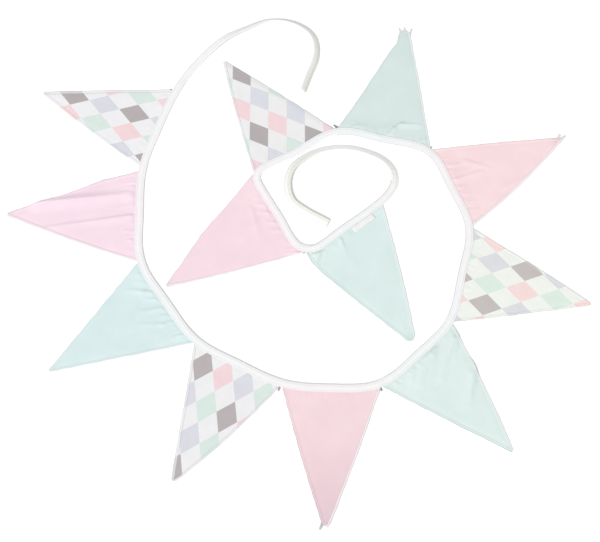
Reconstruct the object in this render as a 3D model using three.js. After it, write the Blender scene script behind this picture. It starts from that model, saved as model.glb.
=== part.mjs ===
// Fabric bunting laid out in a loose spiral: twelve cotton pennants on one folded tape.
// The tape is folded over the top of each pennant, and its two free ends are the ties.
// Millimetres, +Z up. The cloth lies on z = 0, seen from above with +Y away from the viewer.

import * as THREE from 'three';

// Driving dimensions
const CLEARANCE = 0.3; // between pieces that touch
const TAPE_WIDTH = 12.5; // folded tape, from its open edge to its fold
const TAPE_PLY = 1.0; // one side of the folded tape
const PENNANT_THICKNESS = 1.0; // two layers of cotton, seamed and turned
const SEAM_DEPTH = 7.5; // how far a pennant reaches into the folded tape
const SLOT_DEPTH = 9.0; // inside of the folded tape, from its open edge
const TIE_SLOT = 0.4; // between the two sides of the tape where it is sewn shut as a tie
const TIE_SLOT_DEPTH = 1.2;
const DROP_START = 1.5; // past the tape's edge the cloth starts to come down to the surface
const DROP_END = 26; // and lies on it from here
const FOLD_START = 14; // by here a fold has its full height
const LABEL_START = 84; // from the start of its pennant, along the tape
const LABEL_LENGTH = 40;
const LABEL_REACH = 9; // how far the label stands out of the tape's edge
const LABEL_THICKNESS = 1.0;
const LABEL_PENNANT = 11;

const PENNANT_SLOT = PENNANT_THICKNESS + 2 * CLEARANCE;
const PENNANT_BASE = TAPE_PLY + CLEARANCE; // underside of the cloth inside the tape

// How finely the shapes are divided
const RINGS_PER_SPAN = 4;
const PENNANT_COLUMNS = 8;
const PENNANT_ROWS = 11;
const ROW_CROWDING = 1.25; // above 1 the rows are closer together near the tape
const LABEL_COLUMNS = 4;
const LABEL_ROWS = 2;

// This point of the layout below is the middle of the whole, and becomes the origin
const MIDDLE_X = -7.29;
const MIDDLE_Y = 29.86;

// The tape's middle line through each tie, in its direction of travel from the outer tie's free
// end to the inner tie's. lean is the slope across the tape in degrees: its fold stands up.
const OUTER_TIE = [
  { x: 5, y: 306, lean: 46 },
  { x: 15, y: 335, lean: 42 },
  { x: 25, y: 363, lean: 38 },
  { x: 27, y: 388, lean: 36 },
  { x: 19, y: 411, lean: 36 },
  { x: -2, y: 428, lean: 38 },
  { x: -28, y: 436, lean: 48 },
  { x: -56, y: 435, lean: 50 },
  { x: -90, y: 421, lean: 36 },
  { x: -124, y: 403, lean: 18 },
  { x: -152, y: 377, lean: 4 },
  { x: -173, y: 352, lean: 0 },
  { x: -192, y: 323, lean: 0 },
];
const INNER_TIE = [
  { x: 137, y: 125, lean: 0 },
  { x: 147, y: 142, lean: 14 },
  { x: 147, y: 164, lean: 26 },
  { x: 134, y: 183, lean: 34 },
  { x: 106, y: 198, lean: 38 },
  { x: 72, y: 205, lean: 38 },
  { x: 38, y: 202, lean: 40 },
  { x: 6, y: 188, lean: 34 },
  { x: -13, y: 170, lean: 28 },
  { x: -20, y: 143, lean: 28 },
  { x: -13, y: 115, lean: 28 },
  { x: 10, y: 96, lean: 28 },
  { x: 44, y: 77, lean: 28 },
];

// One row for each pennant, in order along the tape from the outer tie.
// x, y: the corner of the tape's middle line where the pennant begins; the next row ends it.
// bend: how far from that corner the tape turns. gap: from the last pennant, along the tape.
// sag: how far the tape bows outwards between corners. tipX, tipY, tipWidth: the point as it lies.
// bow0, bow1: how far the sides at the pennant's first and last corner bulge.
const PENNANTS = [
  { x: -201, y: 308, bend: 18, gap: 3, sag: 2, tipX: -415, tipY: 304, tipWidth: 4, bow0: 1, bow1: 3 },
  { x: -250, y: 170, bend: 18, gap: 11, sag: 1.5, tipX: -456, tipY: 93, tipWidth: 4, bow0: 3, bow1: 3 },
  { x: -247, y: 15, bend: 18, gap: 3, sag: 1.5, tipX: -372, tipY: -157, tipWidth: 4, bow0: 0, bow1: 0 },
  { x: -157, y: -112, bend: 18, gap: 3, sag: 1.5, tipX: -183, tipY: -319, tipWidth: 6, bow0: 0, bow1: 5 },
  { x: -27, y: -177, bend: 18, gap: 5, sag: 5, tipX: 37, tipY: -382, tipWidth: 10, bow0: 2, bow1: 2 },
  { x: 120, y: -179, bend: 18, gap: 4, sag: 2.5, tipX: 309, tipY: -276, tipWidth: 4, bow0: 1, bow1: 3 },
  { x: 228, y: -81, bend: 17, gap: 4, sag: 0.5, tipX: 441, tipY: -53, tipWidth: 4, bow0: 1, bow1: 2 },
  { x: 266, y: 71, bend: 18, gap: 4, sag: 1, tipX: 416, tipY: 221, tipWidth: 7, bow0: 5, bow1: 2 },
  { x: 208, y: 203, bend: 17, gap: 3, sag: 0.5, tipX: 174, tipY: 420, tipWidth: 14, bow0: 1, bow1: -4 },
  { x: 57, y: 239, bend: 18, gap: 5, sag: -2.5, tipX: -124, tipY: 361, tipWidth: 4, bow0: 2, bow1: 2 },
  { x: -72, y: 162, bend: 9, gap: 3, sag: 3, tipX: -204, tipY: -25, tipWidth: 4, bow0: 3, bow1: 2 },
  { x: 7, y: 27, bend: 17, gap: 3, sag: 1.5, tipX: 169, tipY: -110, tipWidth: 11, bow0: 4, bow1: 3 },
];
const LAST_CORNER = { x: 126, y: 113, bend: 16, gap: 3 };
const CLOTHS = ['diamonds', 'pink', 'aqua']; // in turn along the tape

// Main folds, each a soft ridge between two places on a pennant, counted from 0.
// u runs along the tape and v from the tape to the tip, both from 0 to 1. side0 and side1 are
// the ridge's half widths towards the pennant's first and last corner: uneven ones are tucks.
const FOLDS = [
  { pennant: 1, u0: 0.24, v0: 0.0, u1: 0.05, v1: 0.74, height: 4.5, side0: 9, side1: 24 },
  { pennant: 1, u0: 0.49, v0: 0.0, u1: 0.9, v1: 0.62, height: 2.5, side0: 14, side1: 9 },
  { pennant: 2, u0: 0.3, v0: 0.08, u1: 0.72, v1: 0.5, height: 2.2, side0: 16, side1: 12 },
  { pennant: 5, u0: 0.62, v0: 0.06, u1: 0.28, v1: 0.24, height: 2.4, side0: 12, side1: 12 },
  { pennant: 5, u0: 0.88, v0: 0.36, u1: 0.6, v1: 0.5, height: 1.8, side0: 12, side1: 14 },
  { pennant: 7, u0: 0.62, v0: 0.04, u1: 0.68, v1: 0.34, height: 2.0, side0: 14, side1: 14 },
  { pennant: 8, u0: 0.52, v0: 0.06, u1: 0.2, v1: 0.18, height: 2.6, side0: 12, side1: 12 },
  { pennant: 10, u0: 0.44, v0: 0.0, u1: 0.5, v1: 0.3, height: 1.8, side0: 16, side1: 16 },
  { pennant: 11, u0: 0.34, v0: 0.0, u1: 0.38, v1: 0.3, height: 2.0, side0: 14, side1: 14 },
];

const COLOURS = { pink: 0xf8dee5, aqua: 0xdcedea, diamonds: 0xe4e3e6 };
const TAPE_COLOUR = 0xf2f3f6;
const LABEL_COLOUR = 0xf3f0ea;

// The corners of the tape that a pennant lies between, and the straight length between them
function stretchOf(index) {
  const start = PENNANTS[index];
  const end = PENNANTS[index + 1] ?? LAST_CORNER;
  return { start, end, length: Math.hypot(end.x - start.x, end.y - start.y) };
}

// Where the tape's middle line has its points beside a pennant, as parts of that length
function pointPlaces(index) {
  const { start, end, length } = stretchOf(index);
  return [start.bend / length, 0.5, 1 - end.bend / length];
}

function pointBeside(index, place) {
  const { start, end, length } = stretchOf(index);
  const alongX = end.x - start.x;
  const alongY = end.y - start.y;
  const bow = (start.sag * 4 * place * (1 - place)) / length;
  return {
    x: start.x + alongX * place + alongY * bow,
    y: start.y + alongY * place - alongX * bow,
    lean: 0,
  };
}

// The whole route of the tape. A station is a place on it, counted in points of this list.
const ROUTE = [
  ...OUTER_TIE,
  ...PENNANTS.flatMap((pennant, index) => pointPlaces(index).map((place) => pointBeside(index, place))),
  ...INNER_TIE,
];
const MIDDLE_LINE = new THREE.CatmullRomCurve3(ROUTE.map(({ x, y }) => new THREE.Vector3(x, y, 0)));
const FIRST_SEAM = OUTER_TIE.length - 0.5;
const LAST_SEAM = FIRST_SEAM + PENNANTS.length * pointPlaces(0).length;

// Where the tape is at a station: its middle, and the level direction across it towards its open
// edge, which is the side that the pennants are on
function tapeAt(station) {
  const along = station / (ROUTE.length - 1);
  const tangent = MIDDLE_LINE.getTangent(along);
  return {
    middle: MIDDLE_LINE.getPoint(along),
    outwards: new THREE.Vector3(tangent.y, -tangent.x, 0).normalize(),
  };
}

// A place in the layout beside the tape, at a distance out from its open edge
function besideTape(station, reach) {
  const { middle, outwards } = tapeAt(station);
  return middle.addScaledVector(outwards, TAPE_WIDTH / 2 + reach);
}

function tapeLean(station) {
  const before = Math.min(Math.floor(station), ROUTE.length - 2);
  const lean = THREE.MathUtils.lerp(ROUTE[before].lean, ROUTE[before + 1].lean, station - before);
  return THREE.MathUtils.degToRad(lean);
}

// The tape's cross-section at a station: across from its open edge, and up from its underside.
// It opens from the closed tie to the slot that holds the pennants just before the first one.
function tapeSection(station) {
  const spansFromSeam = Math.max(FIRST_SEAM - station, station - LAST_SEAM);
  const opened = 1 - THREE.MathUtils.smoothstep(spansFromSeam, 0.25, 1);
  const slot = THREE.MathUtils.lerp(TIE_SLOT, PENNANT_SLOT, opened);
  const depth = THREE.MathUtils.lerp(TIE_SLOT_DEPTH, SLOT_DEPTH, opened);
  const thickness = 2 * TAPE_PLY + slot;
  return [
    [0, 0],
    [TAPE_WIDTH, 0],
    [TAPE_WIDTH, thickness],
    [0, thickness],
    [0, TAPE_PLY + slot],
    [depth, TAPE_PLY + slot],
    [depth, TAPE_PLY],
    [0, TAPE_PLY],
  ].map(([across, up]) => new THREE.Vector2(across, up));
}

// The section at a station, leaned about its open edge and set in the layout
function tapeRing(station) {
  const { middle, outwards } = tapeAt(station);
  const lean = tapeLean(station);
  const section = tapeSection(station);
  const thickness = section[3].y;
  const halfSeen = (TAPE_WIDTH * Math.cos(lean) - thickness * Math.sin(lean)) / 2;
  return section.map(({ x: across, y: up }) => {
    const inwards = across * Math.cos(lean) - up * Math.sin(lean);
    const height = across * Math.sin(lean) + up * Math.cos(lean);
    return middle.clone().addScaledVector(outwards, halfSeen - inwards).setZ(height);
  });
}

function meshFrom(points, triangles) {
  const geometry = new THREE.BufferGeometry().setFromPoints(points);
  geometry.setIndex(triangles);
  geometry.computeVertexNormals();
  return geometry;
}

// One closed body swept through rings of equal size, with both ends capped
function sweptTape() {
  const steps = (ROUTE.length - 1) * RINGS_PER_SPAN;
  const rings = Array.from({ length: steps + 1 }, (_, step) => tapeRing(step / RINGS_PER_SPAN));
  const size = rings[0].length;
  const triangles = [];
  for (let step = 0; step < steps; step += 1) {
    for (let side = 0; side < size; side += 1) {
      const here = step * size + side;
      const next = step * size + ((side + 1) % size);
      triangles.push(here, next, next + size);
      triangles.push(here, next + size, here + size);
    }
  }
  const firstCap = THREE.ShapeUtils.triangulateShape(tapeSection(0), []);
  const lastCap = THREE.ShapeUtils.triangulateShape(tapeSection(ROUTE.length - 1), []);
  const lastRing = steps * size;
  firstCap.forEach(([a, b, c]) => triangles.push(a, c, b));
  lastCap.forEach(([a, b, c]) => triangles.push(lastRing + a, lastRing + b, lastRing + c));
  return meshFrom(rings.flat(), triangles);
}

// The station of the tape at a part of a pennant's own top edge, which stops short of its corners
function stationBeside(index, part) {
  const { start, end, length } = stretchOf(index);
  const places = [0, ...pointPlaces(index), 1];
  const first = FIRST_SEAM + index * pointPlaces(index).length;
  const stations = [first, first + 0.5, first + 1.5, first + 2.5, first + 3];
  const placed = THREE.MathUtils.lerp(start.gap / 2 / length, 1 - end.gap / 2 / length, part);
  const upper = places.findIndex((place) => place >= placed);
  const within = (placed - places[upper - 1]) / (places[upper] - places[upper - 1]);
  return THREE.MathUtils.lerp(stations[upper - 1], stations[upper], within);
}

// A place on a pennant in the layout: part runs along the tape, down from the tape to the tip
function pennantPlace(index, part, down) {
  const { tipX, tipY, tipWidth, bow0, bow1 } = PENNANTS[index];
  const top = besideTape(stationBeside(index, part), 0);
  const first = besideTape(stationBeside(index, 0), 0);
  const along = besideTape(stationBeside(index, 1), 0).sub(first).normalize();
  const tip = new THREE.Vector3(tipX, tipY, 0).addScaledVector(along, (part - 0.5) * tipWidth);
  const bulge = 4 * down * (1 - down) * (part * bow1 - (1 - part) * bow0);
  return top.lerp(tip, down).addScaledVector(along, bulge);
}

// Height of a pennant's underside over the surface, at a place and its distance from the tape
function pennantHeight(index, place, reach) {
  const drop = 1 - THREE.MathUtils.smoothstep(reach, DROP_START, DROP_END);
  const grown = THREE.MathUtils.smoothstep(reach, DROP_START, FOLD_START);
  const folds = FOLDS.filter((fold) => fold.pennant === index);
  return folds.reduce((height, fold) => height + grown * foldHeight(fold, place), PENNANT_BASE * drop);
}

// A ridge that is highest along its line, fades to both sides and falls off beyond its ends
function foldHeight(fold, place) {
  const start = pennantPlace(fold.pennant, fold.u0, fold.v0);
  const end = pennantPlace(fold.pennant, fold.u1, fold.v1);
  const line = end.clone().sub(start);
  const fromStart = place.clone().sub(start);
  const along = THREE.MathUtils.clamp(fromStart.dot(line) / line.lengthSq(), 0, 1);
  const aside = fromStart.addScaledVector(line, -along);
  const towardsLast = line.x * aside.y - line.y * aside.x > 0;
  const halfWidth = towardsLast ? fold.side1 : fold.side0;
  const fade = 1 - THREE.MathUtils.smoothstep(aside.length(), 0, halfWidth);
  return fold.height * fade * (1 - 0.6 * along);
}

// A closed sheet from a grid of underside points, rows of equal length, of one thickness
function sheetGeometry(rows, thickness) {
  const width = rows[0].length;
  const under = rows.flat();
  const over = under.map((point) => point.clone().setZ(point.z + thickness));
  const triangles = [];
  const quad = (a, b, c, d) => triangles.push(a, b, c, a, c, d);
  for (let row = 0; row + 1 < rows.length; row += 1) {
    for (let column = 0; column + 1 < width; column += 1) {
      const corner = row * width + column;
      quad(corner, corner + 1, corner + width + 1, corner + width);
      const above = corner + under.length;
      quad(above, above + width, above + width + 1, above + 1);
    }
  }
  const rim = rimOf(rows.length, width);
  rim.forEach((here, place) => {
    const next = rim[(place + 1) % rim.length];
    quad(here, here + under.length, next + under.length, next);
  });
  return meshFrom([...under, ...over], triangles);
}

// Indices around a grid's edge: along its first row, down, back along its last row and up
function rimOf(rowCount, width) {
  const lastRow = (rowCount - 1) * width;
  const top = Array.from({ length: width - 1 }, (_, column) => column);
  const right = Array.from({ length: rowCount - 1 }, (_, row) => row * width + width - 1);
  const bottom = Array.from({ length: width - 1 }, (_, column) => lastRow + width - 1 - column);
  const left = Array.from({ length: rowCount - 1 }, (_, row) => lastRow - row * width);
  return [...top, ...right, ...bottom, ...left];
}

// A mesh with its own frame: its origin at the start of its top edge, X along that edge
function placedSheet(name, rows, thickness, colour) {
  const origin = rows[0][0].clone().setZ(0);
  const along = rows[0].at(-1).clone().setZ(0).sub(origin);
  const turn = Math.atan2(along.y, along.x);
  const upright = new THREE.Vector3(0, 0, 1);
  const toOwn = (point) => point.clone().sub(origin).applyAxisAngle(upright, -turn);
  const material = new THREE.MeshStandardMaterial({ color: colour, roughness: 0.9, metalness: 0 });
  const mesh = new THREE.Mesh(sheetGeometry(rows.map((row) => row.map(toOwn)), thickness), material);
  mesh.name = name;
  mesh.position.copy(origin);
  mesh.rotation.z = turn;
  return mesh;
}

function pennantMesh(pennant, index) {
  const cloth = CLOTHS[index % CLOTHS.length];
  const parts = Array.from({ length: PENNANT_COLUMNS + 1 }, (_, column) => column / PENNANT_COLUMNS);
  const hidden = parts.map((part) => besideTape(stationBeside(index, part), -SEAM_DEPTH).setZ(PENNANT_BASE));
  const edge = parts.map((part) => besideTape(stationBeside(index, part), DROP_START).setZ(PENNANT_BASE));
  const length = parts.map((part) => pennantPlace(index, part, 0).distanceTo(pennantPlace(index, part, 1)));
  const rows = [hidden, edge];
  for (let row = 1; row <= PENNANT_ROWS; row += 1) {
    const down = (row / PENNANT_ROWS) ** ROW_CROWDING;
    rows.push(
      parts.map((part, column) => {
        const place = pennantPlace(index, part, down);
        return place.setZ(pennantHeight(index, place, down * length[column]));
      }),
    );
  }
  const number = String(index + 1).padStart(2, '0');
  return placedSheet(`pennant_${number}_${cloth}`, rows, PENNANT_THICKNESS, COLOURS[cloth]);
}

// The label lies on its pennant, with one edge against the upper side of the tape
function labelMesh() {
  const { length } = stretchOf(LABEL_PENNANT);
  const rows = [];
  for (let row = 0; row <= LABEL_ROWS; row += 1) {
    const reach = CLEARANCE + (LABEL_REACH * row) / LABEL_ROWS;
    const places = Array.from({ length: LABEL_COLUMNS + 1 }, (_, column) => {
      const part = (LABEL_START + (LABEL_LENGTH * column) / LABEL_COLUMNS) / length;
      const place = besideTape(stationBeside(LABEL_PENNANT, part), reach);
      const cloth = pennantHeight(LABEL_PENNANT, place, reach) + PENNANT_THICKNESS;
      return place.setZ(cloth + CLEARANCE);
    });
    rows.push(places);
  }
  return placedSheet('label', rows, LABEL_THICKNESS, LABEL_COLOUR);
}

function tapeMesh() {
  const material = new THREE.MeshStandardMaterial({ color: TAPE_COLOUR, roughness: 0.85, metalness: 0 });
  const mesh = new THREE.Mesh(sweptTape(), material);
  mesh.name = 'tape';
  return mesh;
}

const layout = new THREE.Group();
layout.position.set(-MIDDLE_X, -MIDDLE_Y, 0);
layout.add(tapeMesh(), ...PENNANTS.map(pennantMesh), labelMesh());

const group = new THREE.Group();
group.add(layout);

export default group;
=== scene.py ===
import math
from collections import namedtuple

import bpy
import numpy as np
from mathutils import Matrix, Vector, noise


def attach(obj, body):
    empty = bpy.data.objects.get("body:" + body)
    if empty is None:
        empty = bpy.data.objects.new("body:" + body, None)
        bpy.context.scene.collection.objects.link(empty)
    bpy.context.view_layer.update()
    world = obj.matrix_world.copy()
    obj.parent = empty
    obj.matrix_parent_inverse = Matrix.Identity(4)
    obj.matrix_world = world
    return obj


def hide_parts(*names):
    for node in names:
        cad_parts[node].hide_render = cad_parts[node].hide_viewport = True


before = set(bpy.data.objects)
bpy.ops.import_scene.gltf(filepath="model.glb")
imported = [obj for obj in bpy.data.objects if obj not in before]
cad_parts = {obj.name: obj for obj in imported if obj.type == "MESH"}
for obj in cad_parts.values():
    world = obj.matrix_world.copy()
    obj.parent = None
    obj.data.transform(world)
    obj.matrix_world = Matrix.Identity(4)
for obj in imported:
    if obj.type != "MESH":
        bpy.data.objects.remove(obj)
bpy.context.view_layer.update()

# The camera
# It looks down on the laid-out bunting from in front of it, 19 degrees off the vertical and
# about 1.7 metres away, through a lens a little longer than a normal one.
CAMERA_PLACE = Vector((0.0073, -0.5682, 1.5954))
CAMERA_AIM = Vector((0.0073, -0.0299, 0.0))
camera = bpy.data.objects.new("camera", bpy.data.cameras.new("camera"))
bpy.context.scene.collection.objects.link(camera)
camera.data.sensor_width = 36.0
camera.data.lens = 66.0
camera.location = CAMERA_PLACE
camera.rotation_euler = (CAMERA_AIM - CAMERA_PLACE).to_track_quat("-Z", "Y").to_euler()
bpy.context.scene.camera = camera

# The tape
# One white cotton tape, 25 mm wide and 2.54 m long, folded in half along its whole length. Its
# two sides hold the tops of the pennants between them, and are sewn shut beyond them as the ties.
# It lies in a loose spiral, with its open edge outwards. Sizes here are millimetres.
MM = 0.001
MIDDLE = np.array((-7.29, 29.86))  # this point of the layout becomes the frame's origin
TAPE_WIDTH = 12.5  # folded
TAPE_PLY = 0.65
TIE_SLOT = 0.3  # between the two sides of the tape where it is a tie
SEAM_SLOT = 0.95  # and where it holds a pennant
RING_STEP = 1.9  # from one cross-section of the tape to the next
STITCH_INSET = 1.9  # from the tape's open edge to its line of stitches

# Points of the tape's middle line along each tie, and there the slope across the tape in
# degrees: it stands on its open edge, with its fold raised
Turn = namedtuple("Turn", "x y lean")
OUTER_TIE = [
    Turn(5, 306, 46),
    Turn(15, 335, 42),
    Turn(25, 363, 38),
    Turn(27, 388, 36),
    Turn(19, 411, 36),
    Turn(-2, 428, 38),
    Turn(-28, 436, 48),
    Turn(-56, 435, 50),
    Turn(-90, 421, 36),
    Turn(-124, 403, 18),
    Turn(-152, 377, 4),
    Turn(-173, 352, 0),
    Turn(-192, 323, 0),
]
INNER_TIE = [
    Turn(137, 125, 0),
    Turn(147, 142, 12),
    Turn(147, 164, 20),
    Turn(134, 183, 26),
    Turn(106, 198, 27),
    Turn(72, 205, 27),
    Turn(38, 202, 27),
    Turn(6, 188, 25),
    Turn(-13, 170, 22),
    Turn(-20, 143, 19),
    Turn(-13, 115, 18),
    Turn(10, 96, 18),
    Turn(44, 77, 18),
]

# One row for each pennant, from the outer tie on. x, y: the corner of the tape where it begins.
# bend: how far from that corner the tape turns. gap: from the last pennant. sag: how far the
# tape bows outwards. tip_x, tip_y, tip_width: its point. bow0, bow1: how far its sides bulge.
Pennant = namedtuple(
    "Pennant", "x y bend gap sag tip_x tip_y tip_width bow0 bow1", defaults=(0,) * 6
)
PENNANTS = [
    Pennant(-201, 308, 18, 3, 2, -415, 304, 4, 1, 3),
    Pennant(-250, 170, 18, 11, 1.5, -456, 93, 4, 3, 3),
    Pennant(-247, 15, 18, 3, 1.5, -372, -157, 4, 0, 0),
    Pennant(-157, -112, 18, 3, 1.5, -183, -319, 6, 0, 5),
    Pennant(-27, -177, 18, 5, 5, 37, -382, 10, 2, 2),
    Pennant(120, -179, 18, 4, 2.5, 309, -276, 4, 1, 3),
    Pennant(228, -81, 17, 4, 0.5, 441, -53, 4, 1, 2),
    Pennant(266, 71, 18, 4, 1, 416, 221, 7, 5, 2),
    Pennant(208, 203, 17, 3, 0.5, 174, 420, 14, 1, -4),
    Pennant(57, 239, 18, 5, -2.5, -124, 361, 4, 2, 2),
    Pennant(-72, 162, 9, 3, 3, -204, -25, 4, 3, 2),
    Pennant(7, 27, 17, 3, 1.5, 169, -110, 11, 4, 3),
    Pennant(126, 113, 16, 3),  # only the corner where the last one ends
]
LAST = len(PENNANTS) - 2


def span_of(index):
    """The two corners that a pennant lies between, and how far apart they are."""
    start, end = PENNANTS[index], PENNANTS[index + 1]
    return start, end, math.hypot(end.x - start.x, end.y - start.y)


def turn_places(index):
    """Where the tape's middle line has its points beside a pennant, as parts of that length."""
    start, end, length = span_of(index)
    return [start.bend / length, 0.5, 1 - end.bend / length]


def turn_beside(index, place):
    """A point of the tape's middle line beside a pennant, where it bows outwards a little."""
    start, end, length = span_of(index)
    along_x, along_y = end.x - start.x, end.y - start.y
    bow = start.sag * 4 * place * (1 - place) / length
    return Turn(start.x + along_x * place + along_y * bow, start.y + along_y * place - along_x * bow, 0)


# A station is a place on this whole route, counted in its points
ROUTE = (
    OUTER_TIE
    + [turn_beside(index, place) for index in range(LAST + 1) for place in turn_places(index)]
    + INNER_TIE
)
ROUTE_POINTS = np.array([(turn.x, turn.y) for turn in ROUTE], float)
BEFORE_ROUTE = 2 * ROUTE_POINTS[:1] - ROUTE_POINTS[1:2]
AFTER_ROUTE = 2 * ROUTE_POINTS[-1:] - ROUTE_POINTS[-2:-1]
GUIDES = np.concatenate((BEFORE_ROUTE, ROUTE_POINTS, AFTER_ROUTE))
FIRST_SEAM = len(OUTER_TIE) - 0.5
LAST_SEAM = FIRST_SEAM + 3 * (LAST + 1)


def tape_line(station):
    """Places on the tape's middle line: a smooth curve through the route, tight at its corners."""
    station = np.clip(station, 0, len(ROUTE) - 1)
    before = np.minimum(station.astype(int), len(ROUTE) - 2)
    within = (station - before)[..., None]
    a, b, c, d = (GUIDES[before + step] for step in range(4))
    ab, bc, cd = (
        np.sqrt(np.linalg.norm(last - first, axis=-1, keepdims=True))
        for first, last in ((a, b), (b, c), (c, d))
    )
    leaving = ((b - a) / ab - (c - a) / (ab + bc) + (c - b) / bc) * bc
    arriving = ((c - b) / bc - (d - b) / (bc + cd) + (d - c) / cd) * bc
    square = -3 * b + 3 * c - 2 * leaving - arriving
    cube = 2 * b - 2 * c + leaving + arriving
    return b + leaving * within + square * within**2 + cube * within**3


def out_of_tape(station):
    """The level direction across the tape, out of its open edge."""
    station = np.clip(station, 0, len(ROUTE) - 1)
    ahead = tape_line(station + 0.006) - tape_line(station - 0.006)
    ahead /= np.linalg.norm(ahead, axis=-1, keepdims=True)
    return np.stack((ahead[..., 1], -ahead[..., 0]), -1)


def beside_tape(station, reach):
    """Places beside the tape, this far out from its open edge."""
    return tape_line(station) + out_of_tape(station) * (TAPE_WIDTH / 2 + reach)[..., None]


def rise(value, low, high):
    """From 0 at low to 1 at high, smoothly."""
    part = np.clip((value - low) / (high - low), 0, 1)
    return part * part * (3 - 2 * part)


def uneven(x, y, size, layer):
    """Soft unevenness from about -1 to 1, with swells of this size; each layer has its own."""
    spots = zip((x / size).ravel(), (y / size).ravel())
    return np.array([noise.noise(Vector((u, v, layer))) for u, v in spots]).reshape(x.shape)


# Length along the tape against its stations, with its lean evened out from point to point
ALL_STATIONS = np.linspace(0, len(ROUTE) - 1, 6001)
STEPS = np.linalg.norm(np.diff(tape_line(ALL_STATIONS), axis=0), axis=1)
RUN = np.concatenate(([0.0], np.cumsum(STEPS)))
TAPE_LENGTH = RUN[-1]
LEAN_GRID = np.arange(0, TAPE_LENGTH, 2.0)
LEAN_REACH = 8  # steps of that grid to each side
leans = np.interp(np.interp(LEAN_GRID, RUN, ALL_STATIONS), range(len(ROUTE)), [t.lean for t in ROUTE])
leans = np.convolve(
    np.pad(leans, LEAN_REACH, mode="edge"), np.ones(2 * LEAN_REACH + 1) / (2 * LEAN_REACH + 1), "valid"
)


def slot_of(run):
    """The gap between the two sides of the tape, which opens just before the first pennant."""
    station = np.interp(run, RUN, ALL_STATIONS)
    spans_off = np.maximum(FIRST_SEAM - station, station - LAST_SEAM)
    return TIE_SLOT + (SEAM_SLOT - TIE_SLOT) * (1 - rise(spans_off, 0.25, 1))


def crumple(run, across):
    """How far the upper side of the tape is pushed up: puckers at each turn, and soft swells."""
    station = np.interp(run, RUN, ALL_STATIONS)
    turning = np.linalg.norm(out_of_tape(station + 0.08) - out_of_tape(station - 0.08), axis=-1)
    nearby = np.linalg.norm(tape_line(station + 0.08) - tape_line(station - 0.08), axis=-1)
    curl = np.minimum(turning / nearby / 0.02, 1)
    puckers = np.sin(run / 1.15 + 1.4 * np.sin(run / 9.0)) * 0.5 + 0.5
    inside = 0.25 + 0.75 * across / TAPE_WIDTH
    swell = uneven(run, across * 2.5, 17, 3.1)
    return 0.6 * curl * puckers * inside + 0.2 * swell


def tape_place(run, across, up):
    """Places in the tape's section at a length along it: across from its open edge, and up."""
    station = np.interp(run, RUN, ALL_STATIONS)
    lean = np.radians(np.interp(run, LEAN_GRID, leans))
    thickness = 2 * TAPE_PLY + slot_of(run)
    half_seen = (TAPE_WIDTH * np.cos(lean) - thickness * np.sin(lean)) / 2
    inwards = across * np.cos(lean) - up * np.sin(lean)
    height = across * np.sin(lean) + up * np.cos(lean)
    flat = tape_line(station) + out_of_tape(station) * (half_seen - inwards)[..., None]
    return np.concatenate((flat, height[..., None]), -1)


def make_piece(name, places, faces, material, maps=None):
    """A smooth piece from places in the layout, with maps that its material reads by name."""
    points = np.array(places, float).reshape(-1, 3)
    points[:, :2] -= MIDDLE
    mesh = bpy.data.meshes.new(name)
    mesh.from_pydata((points * MM).tolist(), [], faces)
    mesh.polygons.foreach_set("use_smooth", [True] * len(mesh.polygons))
    corners = np.zeros(len(mesh.loops), int)
    mesh.loops.foreach_get("vertex_index", corners)
    for map_name, values in (maps or {}).items():
        layer = mesh.uv_layers.new(name=map_name)
        layer.data.foreach_set("uv", values.reshape(-1, 2)[corners].astype(np.float32).ravel())
    mesh.materials.append(material)
    mesh.update()
    piece = bpy.data.objects.new(name, mesh)
    bpy.context.scene.collection.objects.link(piece)
    return piece


def node(tree, kind, inputs=None, **settings):
    """One shader node. Its inputs are plain values or other nodes' outputs, by name or number."""
    made = tree.nodes.new(kind)
    for name, value in settings.items():
        setattr(made, name, value)
    for name, value in (inputs or {}).items():
        if isinstance(value, bpy.types.NodeSocket):
            tree.links.new(value, made.inputs[name])
        else:
            made.inputs[name].default_value = value
    return made


def calc(tree, operation, *values):
    """The output of one math node on these values."""
    return node(tree, "ShaderNodeMath", dict(enumerate(values)), operation=operation).outputs[0]


def tone(red, green, blue):
    """The linear colour of cloth that shows as this 0 to 255 colour in a bright, even light."""
    BRIGHT_LIGHT = 1.24
    parts = [value / 255 for value in (red, green, blue)]
    linear = [((part + 0.055) / 1.055) ** 2.4 for part in parts]
    return (*[value / BRIGHT_LIGHT for value in linear], 1.0)


def woven(tree, thread, strength):
    """A plain weave on the map named cloth: threads cross over and under, a little unevenly."""
    cloth = node(tree, "ShaderNodeUVMap", uv_map="cloth").outputs[0]
    wander = node(tree, "ShaderNodeTexNoise", {"Vector": cloth, "Scale": 900.0, "Detail": 2.0})
    place = node(tree, "ShaderNodeSeparateXYZ", {0: cloth})
    turns = math.pi / (thread * MM)
    slack = calc(tree, "MULTIPLY", wander.outputs[0], 1.6)
    weft = calc(tree, "SINE", calc(tree, "ADD", calc(tree, "MULTIPLY", place.outputs[0], turns), slack))
    warp = calc(tree, "SINE", calc(tree, "ADD", calc(tree, "MULTIPLY", place.outputs[1], turns), slack))
    over = calc(tree, "MULTIPLY", weft, warp)
    height = calc(tree, "ADD", over, calc(tree, "MULTIPLY", wander.outputs[0], 1.2))
    bump = node(tree, "ShaderNodeBump", {"Strength": strength, "Distance": 0.00012, "Height": height})
    return cloth, bump


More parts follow.
